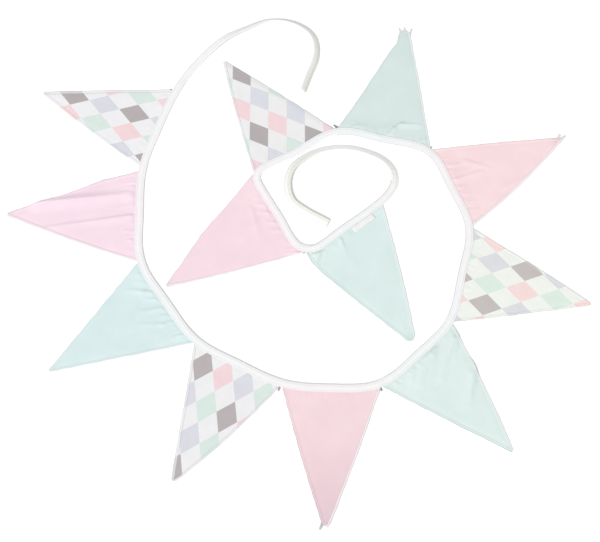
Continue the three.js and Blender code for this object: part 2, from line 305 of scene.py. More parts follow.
def cotton(name, thread, strength):
    """A matt cotton with its weave and a faint sheen, and the parts that colour it."""
    material = bpy.data.materials.new(name)
    material.use_nodes = True
    tree = material.node_tree
    cloth, bump = woven(tree, thread, strength)
    surface = tree.nodes["Principled BSDF"]
    surface.inputs["Roughness"].default_value = 0.88
    surface.inputs["Specular IOR Level"].default_value = 0.25
    surface.inputs["Sheen Weight"].default_value = 0.12
    surface.inputs["Sheen Roughness"].default_value = 0.5
    tree.links.new(bump.outputs[0], surface.inputs["Normal"])
    return material, tree, surface, cloth


def mottled(tree, cloth, light, dark, scale):
    """A colour that drifts between two close tones over the cloth."""
    drift = node(tree, "ShaderNodeTexNoise", {"Vector": cloth, "Scale": scale, "Detail": 4.0})
    spread = node(tree, "ShaderNodeMapRange", {0: drift.outputs[0], 1: 0.32, 2: 0.68})
    return node(
        tree, "ShaderNodeMix", {0: spread.outputs[0], 6: dark, 7: light}, data_type="RGBA"
    ).outputs[2]


def mixed(tree, part, first, second):
    """A colour between two others."""
    return node(tree, "ShaderNodeMix", {0: part, 6: first, 7: second}, data_type="RGBA").outputs[2]


def multiplied(tree, colour, share):
    """A colour multiplied by another, such as the white and pale grey of wear."""
    values = {0: 1.0, 6: colour, 7: share}
    return node(tree, "ShaderNodeMix", values, data_type="RGBA", blend_type="MULTIPLY").outputs[2]


def ramp(tree, place, stops, interpolation="LINEAR"):
    """A colour that follows its place from 0 to 1 through stops: rows of a place and a colour."""
    made = node(tree, "ShaderNodeValToRGB", {0: place})
    made.color_ramp.interpolation = interpolation
    elements = made.color_ramp.elements
    for number, (position, colour) in enumerate(stops):
        stop = elements[0] if number == 0 else elements.new(position)
        stop.position = position
        stop.color = colour
    elements.remove(elements[-1])
    return made.outputs[0]


def line_at(tree, place, middle, half_width, strength):
    """How strongly a soft line shows at this place, whose middle and half width are in mm."""
    away = calc(tree, "ABSOLUTE", calc(tree, "SUBTRACT", place, middle * MM))
    ends = {0: away, 1: half_width * 0.5 * MM, 2: half_width * MM, 3: strength, 4: 0.0}
    return node(tree, "ShaderNodeMapRange", ends).outputs[0]


# The thin white cotton takes on a little of the cloth inside it: diamonds, pink and aqua in turn.
# Past the pennants it is bare, and each tie is painted lighter about its middle, to make up for the shade
# where it leans away from the lamp.
TAPE_WHITE = np.array((252, 252, 253))
CLOTH_INSIDE = np.array(((236, 237, 242), (252, 226, 234), (223, 241, 240)))
SHOWING_THROUGH = 0.22  # the share of the colour inside that shows
BARE_TAPE = (248, 248, 246)
# Painted light: the middle of each tie is made lighter than the bare tape, against its shade
OUTER_TIE_PAINTED_LIGHT = (255, 255, 252)
INNER_TIE_PAINTED_LIGHT = (266, 266, 265)  # past 255, to make up for the shade that it lies in
shade_stops = [(1, BARE_TAPE), (5, OUTER_TIE_PAINTED_LIGHT), (8, BARE_TAPE)]
for index in range(LAST + 1):
    inside = CLOTH_INSIDE[index % len(CLOTH_INSIDE)]
    tinted = TAPE_WHITE + (inside - TAPE_WHITE) * SHOWING_THROUGH
    shade_stops.append((FIRST_SEAM + 1.5 + 3 * index, tinted))
shade_stops.append((LAST_SEAM + 1.5, BARE_TAPE))
shade_stops.append((LAST_SEAM + 5.5, INNER_TIE_PAINTED_LIGHT))
shade_stops.append((len(ROUTE) - 6, BARE_TAPE))
TAPE_WEAR = 0.98
tape_cotton, tree, surface, cloth = cotton("tape_cotton", 0.55, 0.55)
on_cloth = node(tree, "ShaderNodeSeparateXYZ", {0: cloth})
along_tape = calc(tree, "DIVIDE", on_cloth.outputs[1], TAPE_LENGTH * MM)
shade_stops = [
    (np.interp(station, ALL_STATIONS, RUN) / TAPE_LENGTH, tone(*shade)) for station, shade in shade_stops
]
shades = ramp(tree, along_tape, shade_stops)
tape_wear = mottled(tree, cloth, (1, 1, 1, 1), (TAPE_WEAR, TAPE_WEAR, TAPE_WEAR, 1), 60.0)
tape_shade = multiplied(tree, shades, tape_wear)
# Near the ties' ends one half of the tape is painted khaki, as painted shade where the tie leans:
# the half along the open edge of the outer tie, and the half along the fold of the inner one. Each
# row: from, to and past where on the cloth, in metres, and the two stations it fades between.
PAINTED_SHADE_SHARE = 0.9
for from_fold, fully, first_station, last_station in (
    (0.0186, 0.0206, 4.5, 2.5),
    (0.0194, 0.0172, len(ROUTE) - 7, len(ROUTE) - 5),
):
    half = {0: on_cloth.outputs[0], 1: from_fold, 2: fully, 3: 0.0, 4: PAINTED_SHADE_SHARE}
    fade_start, fade_end = np.interp((first_station, last_station), ALL_STATIONS, RUN)
    near_end = {0: on_cloth.outputs[1], 1: fade_start * MM, 2: fade_end * MM}
    halves = [node(tree, "ShaderNodeMapRange", values).outputs[0] for values in (half, near_end)]
    tape_shade = mixed(tree, calc(tree, "MULTIPLY", *halves), tape_shade, tone(234, 235, 227))
# On the right of the spiral, and from the last pennant to a little way past it, a grey line of
# painted shade follows its fold. Each row: from and to where, in pennants from the first one's
# start, and how strongly.
PAINTED_FOLD_SHADE = 13.0  # from one edge of the cloth
PAINTED_FOLD_SHADE_HALF = 1.5
for first_place, last_place, strength in ((5.1, 6.1, 0.25), (6.1, 9, 0.5), (11.05, 12.6, 0.5)):
    stations = FIRST_SEAM + 3 * np.array((first_place, last_place))
    starts, ends = np.interp(stations, ALL_STATIONS, RUN) * MM
    beyond_start = calc(tree, "GREATER_THAN", on_cloth.outputs[1], starts)
    before_end = calc(tree, "LESS_THAN", on_cloth.outputs[1], ends)
    line = line_at(tree, on_cloth.outputs[0], PAINTED_FOLD_SHADE, PAINTED_FOLD_SHADE_HALF, strength)
    line = calc(tree, "MULTIPLY", line, calc(tree, "MULTIPLY", beyond_start, before_end))
    tape_shade = mixed(tree, line, tape_shade, tone(190, 189, 192))
# Two thin grey lines run along it, the second one beside its stitches. Each row: from the edge of
# the cloth, half width and how strongly.
for middle, half_width, strength in ((16.4, 0.7, 0.22), (22.0, 0.7, 0.25)):
    line = line_at(tree, on_cloth.outputs[0], middle, half_width, strength)
    tape_shade = mixed(tree, line, tape_shade, tone(206, 203, 196))
tree.links.new(tape_shade, surface.inputs["Base Color"])

run = np.linspace(0, TAPE_LENGTH, round(TAPE_LENGTH / RING_STEP) + 1)[:, None]
full = 2 * TAPE_PLY + slot_of(run)  # the folded tape's thickness at each ring
fold_radius = (full - TAPE_PLY) / 2  # of the middle of the cloth round the fold
bottom = np.array([0.2, 3.5, 7.0, 10.0])
fold_angles = np.radians([-72, -48, -24, 0, 24, 48, 72])
top = np.array([10.1, 8.8, 7.4, 6.0, 4.8, 3.8, 3.0, 2.4, 1.9, 1.4, 0.8, 0.2])
ring_ones = np.ones_like(run)
across = np.concatenate(
    (
        ring_ones * bottom,
        TAPE_WIDTH - full / 2 + fold_radius * np.cos(fold_angles),
        ring_ones * top,
    ),
    axis=1,
)
groove = 0.22 * np.exp(-(((top - STITCH_INSET) / 0.6) ** 2))
crown = 0.25 * np.sin(np.pi * np.clip((top - STITCH_INSET) / (TAPE_WIDTH - STITCH_INSET), 0, 1))
top_up = full - TAPE_PLY / 2 + crown - groove + crumple(run + 0 * top, ring_ones * top)
up = np.concatenate(
    (
        ring_ones * bottom * 0 + TAPE_PLY / 2,
        full / 2 + fold_radius * np.sin(fold_angles),
        top_up,
    ),
    axis=1,
)
# The cloth's two faces lie half a ply to each side of this middle line of the section
ahead_across, ahead_up = np.gradient(across, axis=1), np.gradient(up, axis=1)
size = np.hypot(ahead_across, ahead_up)
aside_across, aside_up = ahead_up / size * TAPE_PLY / 2, -ahead_across / size * TAPE_PLY / 2
ring_across = np.concatenate((across + aside_across, (across - aside_across)[:, ::-1]), axis=1)
ring_up = np.concatenate((up + aside_up, (up - aside_up)[:, ::-1]), axis=1)
edge_wander = 0.25 * uneven(run, run * 0, 23, 8.4)
rings = tape_place(run + 0 * ring_across, ring_across + edge_wander, ring_up)

ring_count, ring_size = ring_across.shape
half_ring = across.shape[1]
tape_faces = []
for ring in range(ring_count - 1):
    for side in range(ring_size):
        here, after = ring * ring_size + side, ring * ring_size + (side + 1) % ring_size
        tape_faces.append((here, after, after + ring_size, here + ring_size))
for side in range(half_ring - 1):
    facing, end_ring = ring_size - 1 - side, (ring_count - 1) * ring_size
    tape_faces.append((side, facing, facing - 1, side + 1))
    tape_faces.append((end_ring + side, end_ring + side + 1, end_ring + facing - 1, end_ring + facing))
section_steps = np.hypot(np.diff(across, axis=1), np.diff(up, axis=1))
unrolled = np.concatenate((0 * run, np.cumsum(section_steps, axis=1)), axis=1)
unrolled = np.concatenate((unrolled, unrolled[:, ::-1]), axis=1)
tape_map = np.stack((unrolled, run + 0 * ring_across), -1)
tape = make_piece("folded_tape", rings, tape_faces, tape_cotton, {"cloth": tape_map * MM})
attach(tape, "root")
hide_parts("tape")

# The stitching
# A straight line of white thread along the tape's open edge, through both of its sides, and
# through the pennants between them. The same stitches show on the underside.
STITCH_PITCH = 2.9
STITCH_LENGTH = 2.1
THREAD_RADIUS = 0.24
BEAD_SIDES = 6
BEAD_PROFILE = ((-0.5, 0.35), (-0.36, 0.95), (0.36, 0.95), (0.5, 0.35))  # along, and its radius

thread_cotton, tree, surface, cloth = cotton("thread_cotton", 0.3, 0.3)
thread_shade = mottled(tree, cloth, tone(243, 241, 243), tone(230, 228, 231), 300.0)
tree.links.new(thread_shade, surface.inputs["Base Color"])

stitch_runs = np.arange(3.0, TAPE_LENGTH - 3.0, STITCH_PITCH)


def stitch_row(up_at, across_at):
    """Every stitch of one side of the tape: rings of points along each, and its map."""
    beads = []
    for along, radius in BEAD_PROFILE:
        at = stitch_runs + along * STITCH_LENGTH
        line = across_at + 0 * at
        centre = tape_place(at, line, up_at(at))
        ahead = tape_place(at + 0.5, line, up_at(at)) - tape_place(at - 0.5, line, up_at(at))
        ahead /= np.linalg.norm(ahead, axis=1, keepdims=True)
        aside = np.cross(ahead, (0, 0, 1))
        aside /= np.linalg.norm(aside, axis=1, keepdims=True)
        upright = np.cross(aside, ahead)
        for side in range(BEAD_SIDES):
            turn = 2 * math.pi * side / BEAD_SIDES
            spoke = aside * math.cos(turn) + upright * math.sin(turn)
            beads.append(centre + spoke * radius * THREAD_RADIUS)
    return np.stack(beads, axis=1)


def top_of_groove(run):
    """The height of the stitched groove on the tape's upper face."""
    ripple = crumple(run, np.full_like(run, STITCH_INSET))
    return 2 * TAPE_PLY + slot_of(run) - 0.18 + ripple


upper = stitch_row(top_of_groove, STITCH_INSET)
under = stitch_row(lambda run: np.full_like(run, THREAD_RADIUS * 0.9), STITCH_INSET)
beads = np.concatenate((upper, under))
bead_size = beads.shape[1]
stitch_faces = []
for bead in range(len(beads)):
    first = bead * bead_size
    for row in range(len(BEAD_PROFILE) - 1):
        for side in range(BEAD_SIDES):
            here = first + row * BEAD_SIDES + side
            after = first + row * BEAD_SIDES + (side + 1) % BEAD_SIDES
            stitch_faces.append((here, after, after + BEAD_SIDES, here + BEAD_SIDES))
    stitch_faces.append(tuple(first + side for side in reversed(range(BEAD_SIDES))))
    stitch_faces.append(tuple(first + bead_size - BEAD_SIDES + side for side in range(BEAD_SIDES)))
stitch_map = np.stack((beads[..., 0], beads[..., 1]), -1)
stitches = make_piece("tape_stitches", beads, stitch_faces, thread_cotton, {"cloth": stitch_map * MM})
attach(stitches, "root")

# The pennants
# Twelve long triangles, each two layers of cotton sewn together along the sides and turned, so
# that the seam allowance inside thickens both side edges. The tape holds their tops. Each lies
# flat from there, with the creases of its packing and small gathers where it is sewn in.
SEAM_DEPTH = 7.5  # how far a pennant reaches into the tape
TWO_LAYERS = 0.55
SEAM_THICKNESS = 0.95  # with the seam allowance inside
SEAM_ALLOWANCE = 4.2
EDGE_RADIUS = 0.6
TOP_HEIGHT = 0.8  # underside of the cloth where it leaves the tape
DROP_START = 1.5
DROP_END = 26  # from here on it lies on the table
FOLD_START = 14
EDGE_OFFSETS = np.array([0, 0.15, 0.4, 0.8, 1.5, 2.4, 3.3, 3.8, 4.3, 4.9, 6.0])
INNER_COLUMNS = 76

# Creases, each from one place on a pennant to another. pennant counts from 1. u runs along the
# tape and v from the tape to the tip, both from 0 to 1. side0 and side1 are half widths in
# millimetres towards its first and last corner, and a negative height is a trough.
Crease = namedtuple("Crease", "pennant u0 v0 u1 v1 height side0 side1")
CREASES = [
    Crease(2, 0.05, 0.76, 0.25, 0.0, 4.6, 24, 13),
    Crease(2, 0.49, 0.0, 0.9, 0.7, 1.9, 5, 15),
    Crease(3, 0.3, 0.08, 0.72, 0.5, 1.3, 16, 12),
    Crease(6, 0.62, 0.06, 0.28, 0.24, 1.0, 12, 12),
    Crease(6, 0.88, 0.36, 0.6, 0.5, 1.3, 12, 14),
    Crease(8, 0.62, 0.04, 0.68, 0.34, 0.9, 14, 14),
    Crease(9, 0.52, 0.06, 0.2, 0.18, 0.7, 12, 12),
    Crease(11, 0.44, 0.0, 0.5, 0.3, 1.0, 16, 16),
    Crease(12, 0.34, 0.0, 0.38, 0.3, 0.4, 14, 14),
]

# Gathers and small wrinkles near the tape, as ridges from one place in the layout to another.
# left and right are their half widths on either hand, looking from the first place to the second.
Gather = namedtuple("Gather", "pennant x0 y0 x1 y1 height left right")
GATHERS = [
    Gather(2, -256, 147, -278, 145, 0.9, 6, 3.5),
    Gather(2, -256, 140, -276, 138, 1.0, 6, 3.5),
    Gather(2, -256, 108, -292, 104, 0.8, 9, 5),
    Gather(2, -256, 65, -273, 65, 0.9, 6, 3.5),
    Gather(2, -256, 57, -271, 57, 0.8, 5, 3.5),
    Gather(2, -256, 50, -269, 50, 0.8, 5, 3.5),
    Gather(3, -236, -4, -256, -5, 0.9, 8, 4),
    Gather(3, -228, -18, -248, -18, 0.9, 8, 4),
    Gather(3, -222, -35, -258, -31, 1.6, 10, 5),
    Gather(3, -212, -46, -234, -45, 1.2, 8, 4),
    Gather(3, -203, -59, -242, -65, 1.4, 10, 5),
    Gather(3, -195, -68, -212, -73, 1.0, 7, 4),
    Gather(3, -188, -79, -208, -85, 1.2, 8, 4),
    Gather(3, -206, -85, -242, -85, 0.9, 10, 5),
    Gather(3, -168, -99, -192, -106, 1.3, 8, 4),
    Gather(6, 199, -122, 176, -174, 3.4, 13, 22),
    Gather(6, 238, -98, 230, -140, 1.6, 8, 15),
    Gather(6, 230, -108, 208, -168, 3.6, 12, 20),
    Gather(6, 168, -150, 163, -184, 1.4, 8, 14),
    Gather(6, 262, -148, 246, -208, 3.4, 12, 22),
    Gather(7, 262, 20, 282, 22, 0.9, 5, 6),
    Gather(8, 240, 150, 287, 166, 1.7, 6, 12),
    Gather(8, 232, 176, 262, 180, 1.0, 4, 8),
    Gather(8, 262, 184, 298, 172, 1.2, 6, 12),
    Gather(8, 228, 166, 241, 168, 0.9, 3.5, 6),
    Gather(8, 245, 138, 257, 140, 0.9, 3.5, 6),
    Gather(8, 252, 126, 264, 128, 0.9, 3.5, 6),
    Gather(8, 258, 114, 271, 116, 0.9, 3.5, 6),
    Gather(8, 264, 100, 277, 102, 0.8, 3.5, 6),
    Gather(8, 322, 140, 364, 158, 0.8, 10, 14),
    Gather(9, 137, 222, 150, 240, 2.8, 5, 12),
    Gather(9, 150, 240, 162, 248, 2.2, 5, 12),
    Gather(9, 162, 248, 192, 247, 1.9, 5, 12),
    Gather(9, 78, 241, 95, 247, 1.8, 4, 8),
    Gather(9, 95, 236, 103, 245, 1.1, 4, 7),
    Gather(9, 112, 232, 118, 245, 0.9, 4, 6),
    Gather(9, 180, 212, 202, 222, 1.2, 5, 8),
    Gather(11, -47, 108, -68, 110, 1.1, 7, 4),
    Gather(11, -42, 95, -66, 97, 1.2, 7, 4),
    Gather(11, -34, 80, -52, 80, 1.3, 7, 4),
    Gather(11, -26, 68, -42, 66, 1.0, 7, 4),
    Gather(11, -4, 30, -22, 28, 0.9, 6, 4),
    Gather(11, -74, 100, -64, 60, 1.0, 8, 14),
    Gather(12, 34, 42, 25, 12, 4.2, 7, 16),
    Gather(12, 60, 59, 70, 34, 1.8, 4, 10),
    Gather(12, 95, 88, 102, 75, 0.9, 4, 7),
]

# How far some side edges stray outwards from their even line, at reaches from the tape
Stray = namedtuple("Stray", "pennant side reaches outwards")
STRAYS = [
    Stray(2, 0, (20, 55, 85, 115, 150, 185), (0, 2.5, -0.5, -2.5, -1.8, 0)),
    Stray(9, 1, (120, 156, 170, 183, 196), (0, -2.5, -5, -1, 0)),
    Stray(11, 0, (70, 115, 160), (0, 3, 0)),
    Stray(12, 0, (3, 18, 45, 90, 140), (0, 4.5, 4.5, 2, 0)),
]


def part_stations(index, part):
    """Stations of the tape at parts of a pennant's top edge, which stops short of its corners."""
    start, end, length = span_of(index)
    first = FIRST_SEAM + 3 * index
    placed = start.gap / 2 / length + part * (1 - (start.gap + end.gap) / 2 / length)
    return np.interp(placed, [0, *turn_places(index), 1], first + np.array([0, 0.5, 1.5, 2.5, 3]))


def pennant_axis(index):
    """The direction along a pennant's top edge, its width there and its length to the tip."""
    first, middle, last = beside_tape(part_stations(index, np.array([0, 0.5, 1])), np.zeros(3))
    row = PENNANTS[index]
    width = np.linalg.norm(last - first)
    length = math.hypot(row.tip_x - middle[0], row.tip_y - middle[1])
    return (last - first) / width, width, length


def pennant_place(index, part, down):
    """Places on a pennant: part runs along the tape, and down from the tape to the tip."""
    row = PENNANTS[index]
    along, _, _ = pennant_axis(index)
    top = beside_tape(part_stations(index, part), np.zeros_like(part))
    tip = np.array((row.tip_x, row.tip_y)) + ((part - 0.5) * row.tip_width)[..., None] * along
    bulge = 4 * down * (1 - down) * (part * row.bow1 - (1 - part) * row.bow0)
    return top + (tip - top) * down[..., None] + bulge[..., None] * along


def ridge(flat, start, end, height, left, right):
    """A soft ridge along a line on the cloth, lower towards its far end."""
    line = end - start
    offset = flat - start
    along = np.clip(offset @ line / (line @ line), 0, 1)
    aside = offset - along[..., None] * line
    on_the_left = line[0] * aside[..., 1] - line[1] * aside[..., 0] > 0
    half_width = np.where(on_the_left, left, right)
    fade = 1 - np.clip(np.linalg.norm(aside, axis=-1) / half_width, 0, 1)
    return height * (0.5 * fade**2 + 0.5 * fade**3 * (4 - 3 * fade)) * (1 - 0.6 * along)


def crease_height(index, crease, flat):
    """The height that one crease adds at places on its pennant."""
    ends = np.array((crease.u0, crease.u1)), np.array((crease.v0, crease.v1))
    start, end = pennant_place(index, *ends)
    return ridge(flat, start, end, crease.height, crease.side1, crease.side0)


def sheet_faces(rows, columns):
    """Faces of a closed sheet: a grid underneath, then the same grid above it, and its rim."""
    above = rows * columns
    faces = []
    for row in range(rows - 1):
        for column in range(columns - 1):
            corner = row * columns + column
            under = (corner, corner + 1, corner + columns + 1, corner + columns)
            faces.append(under)
            faces.append(tuple(above + point for point in reversed(under)))
    last_row = (rows - 1) * columns
    rim = list(range(columns - 1))
    rim += [row * columns + columns - 1 for row in range(rows - 1)]
    rim += [last_row + column for column in range(columns - 1, 0, -1)]
    rim += [row * columns for row in range(rows - 1, 0, -1)]
    for here, after in zip(rim, rim[1:] + rim[:1]):
        faces.append((here, here + above, after + above, after))
    return faces


def pennant_sheet(index):
    """A pennant's underside and upper side as grids of places, and its two maps."""
    _, width, length = pennant_axis(index)
    tip_width = PENNANTS[index].tip_width
    reach = np.concatenate(
        (
            [-SEAM_DEPTH, -5.0, -2.5, -0.8],
            np.linspace(0.4, 30, 20),
            np.linspace(32, length - 8, 76),
            length - np.array([6.5, 5, 3.8, 2.8, 2.0, 1.3, 0.7, 0.3, 0.1, 0]),
        )
    )[:, None]
    down = np.clip(reach / length, 0, 1)
    row_width = width + (tip_width - width) * down
    from_edge = EDGE_OFFSETS * np.minimum(1, row_width / 18)
    left = from_edge / row_width
    inner = np.linspace(0, 1, INNER_COLUMNS + 2)[1:-1]
    middle = left[:, -1:] + inner * (1 - 2 * left[:, -1:])
    part = np.concatenate((left, middle, 1 - left[:, ::-1]), axis=1)
    side0, side1 = part * row_width, (1 - part) * row_width

    to_tip = np.maximum(length - reach, 0)
    tip_radius = max(tip_width * 0.5, 2.0)
    tip_round = np.sqrt(1 - (1 - np.clip(to_tip / tip_radius, 0, 1)) ** 2)
    shown_part = 0.5 + (part - 0.5) * np.maximum(tip_round, 0.25)
    down = down + 0 * part
    reach = reach + 0 * part
    flat = pennant_place(index, shown_part, down)
    inwards = np.minimum(reach, 0)[..., None]
    flat = flat + out_of_tape(part_stations(index, part)) * inwards

    along, _, _ = pennant_axis(index)
    near0, near1 = np.exp(-side0 / 5), np.exp(-side1 / 5)
    wander = near0 * uneven(reach, reach * 0, 11, index + 0.3)
    wander = wander + near1 * uneven(reach, reach * 0, 11, index + 40.3)
    flat = flat + (0.8 * wander * rise(reach, 2, 20))[..., None] * along
    for stray in STRAYS:
        if stray.pennant == index + 1:
            near, outwards = ((side0, -1), (side1, 1))[stray.side]
            strayed = np.interp(reach, stray.reaches, stray.outwards) * np.exp(-near / 7)
            flat = flat + (outwards * strayed)[..., None] * along

    grown = rise(reach, 0.3, 7)
    height = TOP_HEIGHT * (1 - rise(reach, DROP_START, DROP_END))
    for crease in CREASES:
        if crease.pennant == index + 1:
            height = height + grown * crease_height(index, crease, flat)
    soon_grown = rise(reach, 0.2, 5)
    for gather in GATHERS:
        if gather.pennant == index + 1:
            start, end = np.array((gather.x0, gather.y0)), np.array((gather.x1, gather.y1))
            added = ridge(flat, start, end, gather.height, gather.left, gather.right)
            height = height + soon_grown * added
    x, y = flat[..., 0], flat[..., 1]
    swell = 0.5 + 0.5 * uneven(x, y, 48, index * 3.7)
    height = height + 0.7 * rise(reach, 6, 40) * swell * rise(np.minimum(side0, side1), 0, 14)
    puckers = uneven(part * width, reach * 0.15, 6.5, index * 5.1 + 0.5)
    fading = 1 - rise(reach, 4, 15 + 8 * uneven(part * width, reach * 0, 14, index + 9.5))
    height = height + 0.7 * puckers * rise(reach, 0.3, 4) * fading
    height = np.maximum(height, 0.0)

    to_edge = np.minimum(np.minimum(side0, side1), to_tip + 0 * part)
    rounding = np.sqrt(1 - (1 - np.clip(to_edge / EDGE_RADIUS, 0, 1)) ** 2)
    seam = (1 - rise(to_edge, SEAM_ALLOWANCE - 0.6, SEAM_ALLOWANCE + 0.3)) * rise(reach, 0.5, 6)
    pucker = 1 + 0.25 * uneven(reach, side0 - side1, 5, index + 7.7)
    thickness = TWO_LAYERS + (SEAM_THICKNESS - TWO_LAYERS) * seam * pucker
    half = thickness / 2
    swelled = half * np.maximum(rounding, 0.1)
    under = np.concatenate((flat, (height + half - swelled)[..., None]), -1)
    over = np.concatenate((flat, (height + half + swelled)[..., None]), -1)
    first, middle, last = beside_tape(part_stations(index, np.array([0, 0.5, 1])), np.zeros(3))
    square_on = np.array((along[1], -along[0]))
    cloth_map = np.stack(((flat - middle) @ along, (flat - middle) @ square_on), -1)
    edge_map = np.stack((side0, side1), -1)
    return under, over, cloth_map, edge_map


def make_pennant(index, cloth_name, material):
    """Makes one pennant in its cloth, which stands for its plain solid in the frame."""
    under, over, cloth_map, edge_map = pennant_sheet(index)
    maps = {"cloth": np.stack((cloth_map, cloth_map)) * MM, "edges": np.stack((edge_map, edge_map)) * MM}
    rows, columns = under.shape[:2]
    number = f"{index + 1:02d}"
    piece = make_piece(
        f"flag_{number}_{cloth_name}", np.stack((under, over)), sheet_faces(rows, columns), material, maps
    )
    _, width, length = pennant_axis(index)
    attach(piece, "root")
    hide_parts(f"pennant_{number}_{cloth_name}")


# On some sides the seam allowance shows as a strip this wide. pale is how much paler it is, line
# and edge how dark the line beside it and the very edge are, up to 1, where the darkened very edge
# is painted shade along the cloth's edge; a strip of -pale is darker.
Side = namedtuple("Side", "strip pale line edge")
SIDES = [
    (Side(4.6, 0.5, 0.6, 0.7), Side(0, 0, 0, 0.2)),
    (Side(0, 0, 0, 0.7), Side(3.4, 0.6, 0.3, 0.4)),
    (Side(0, 0, 0, 0.5), Side(2.2, 0.6, 0.15, 0.3)),
    (Side(4.2, 0.6, 0.3, 0.45), Side(3.0, 0.4, 0.3, 0.45)),
    (Side(0, 0, 0, 0.9), Side(4.2, 0.8, 0.35, 0.6)),
    (Side(0, 0, 0, 0.9), Side(3.4, 0.8, 0.25, 0.3)),
    (Side(0, 0, 0, 0.55), Side(2.8, 0.3, 0.3, 0.4)),
    (Side(4.2, 0.8, 0.3, 0.4), Side(0, 0, 0, 0.6)),
    (Side(4.4, 0.7, 0.45, 0.5), Side(2.4, 0.4, 0.25, 0.75)),
    (Side(5.2, -0.16, 0.35, 0.6), Side(4.4, 0.35, 0.3, 0.4)),
    (Side(0, 0, 0, 0.9), Side(4.2, 0.8, 0.2, 0.3)),
    (Side(0, 0, 0, 0.8), Side(3.4, 0.7, 0.15, 0.3)),
]
STRIP_BLUR = 0.3  # to each side of the strip's inner edge
STRIP_LINE_HALF = 0.7
PAINTED_EDGE_SHADE_HALF = 1.1


def with_sides(tree, colour, index, pale, dark):
    """A pennant's colour with its two side edges, each with painted shade along its very edge."""
    edges = node(tree, "ShaderNodeUVMap", uv_map="edges").outputs[0]
    from_sides = node(tree, "ShaderNodeSeparateXYZ", {0: edges})
    for number, side in enumerate(SIDES[index]):
        away = from_sides.outputs[number]
        if side.strip:
            start, end = (side.strip - STRIP_BLUR) * MM, (side.strip + STRIP_BLUR) * MM
            strip = {0: away, 1: start, 2: end, 3: abs(side.pale), 4: 0.0}
            strip = node(tree, "ShaderNodeMapRange", strip).outputs[0]
            colour = mixed(tree, strip, colour, pale if side.pale > 0 else dark)
            line = line_at(tree, away, side.strip, STRIP_LINE_HALF, side.line)
            colour = mixed(tree, line, colour, dark)
        # Painted shade along the very edge of this side
        colour = mixed(tree, line_at(tree, away, 0, PAINTED_EDGE_SHADE_HALF, side.edge), colour, dark)
    return colour


# tip: how far the cloth turns to tip_shade at its tip, over its last tip_length millimetres
Plain = namedtuple("Plain", "index cloth_name light dark tip tip_length tip_shade")
PLAINS = [
    Plain(1, "pink", (252, 229, 239), (248, 224, 236), 0.8, 14, (226, 220, 223)),
    Plain(2, "aqua", (223, 241, 241), (217, 235, 236), 0.6, 12, (224, 228, 228)),
    Plain(4, "pink", (249, 223, 228), (244, 217, 223), 0.45, 120, (205, 176, 188)),
    Plain(5, "aqua", (228, 242, 239), (222, 237, 234), 0.5, 12, (222, 228, 226)),
    Plain(7, "pink", (252, 226, 229), (248, 220, 224), 0.6, 22, (214, 190, 192)),
    Plain(8, "aqua", (220, 235, 232), (214, 229, 226), 0.2, 80, (180, 200, 200)),
    Plain(10, "pink", (252, 226, 234), (247, 220, 229), 0.8, 14, (224, 217, 219)),
    Plain(11, "aqua", (225, 241, 239), (219, 235, 233), 0.3, 16, (190, 210, 208)),
]
ROLLED = {"pink": tone(247, 240, 243), "aqua": tone(237, 244, 243)}
# Dark for the seam line beside a strip, and for the painted shade along the very edges
SEAM_LINE_AND_EDGE_SHADE = {"pink": tone(190, 178, 184), "aqua": tone(168, 178, 179)}


def plain_cotton(plain):
    """The plain dyed cotton of one pennant, which is greyed at its tip."""
    name = plain.cloth_name
    material, tree, surface, cloth = cotton(f"{name}_cotton_{plain.index + 1:02d}", 0.42, 0.5)
    colour = mottled(tree, cloth, tone(*plain.light), tone(*plain.dark), 22.0)
    place = node(tree, "ShaderNodeSeparateXYZ", {0: cloth})
    _, _, length = pennant_axis(plain.index)
    tip_start = (length - plain.tip_length) * MM
    near_tip = {0: place.outputs[1], 1: tip_start, 2: length * MM, 3: 0.0, 4: plain.tip}
    near_tip = node(tree, "ShaderNodeMapRange", near_tip).outputs[0]
    colour = mixed(tree, near_tip, colour, tone(*plain.tip_shade))
    colour = with_sides(tree, colour, plain.index, ROLLED[name], SEAM_LINE_AND_EDGE_SHADE[name])
    tree.links.new(colour, surface.inputs["Base Color"])
    return material


for plain in PLAINS:
    make_pennant(plain.index, plain.cloth_name, plain_cotton(plain))

# The diamond cloth
# Every third pennant is cut from a cotton printed with a harlequin check: diamonds 34 mm wide and
# 52 mm long touch corner to corner on white, in four colours that shift from row to row.
# first_column, first_row: the centre of diamond 0 of row 0, along the tape from the pennant's
# middle and out from the tape's edge. skew: how far the cloth is turned, in degrees. On a turned
# pennant it lies the other way up. grey_diamonds: which diamond of each row is grey.
Print = namedtuple(
    "Print",
    "index first_column first_row width length skew turned grey_diamonds white grey pink blue mint",
    defaults=((246, 219, 223), (222, 223, 232), (221, 236, 229)),
)
PRINTS = [
    Print(0, -11.2, -13.4, 34.0, 52.2, -1.4, True, (2, 0, 2, 0, 2), (244, 243, 246), (186, 178, 179)),
    Print(3, -10.3, 20.0, 34.1, 51.9, 0, True, (-1, 1, 2, 0, 2), (243, 243, 245), (189, 181, 182)),
    Print(
        6, -4.6, -14.0, 34.7, 51.5, 0.7, False, (0, -1, 1, -1, 1), (245, 247, 242), (200, 194, 193),
        (250, 224, 222), (224, 225, 230), (225, 240, 230),
    ),
    Print(9, -3.2, -0.6, 35.1, 53.5, -2.6, False, (-1, 1, 2, 0, 2), (242, 241, 243), (184, 177, 178)),
]
PRINT_WEAR = 0.965


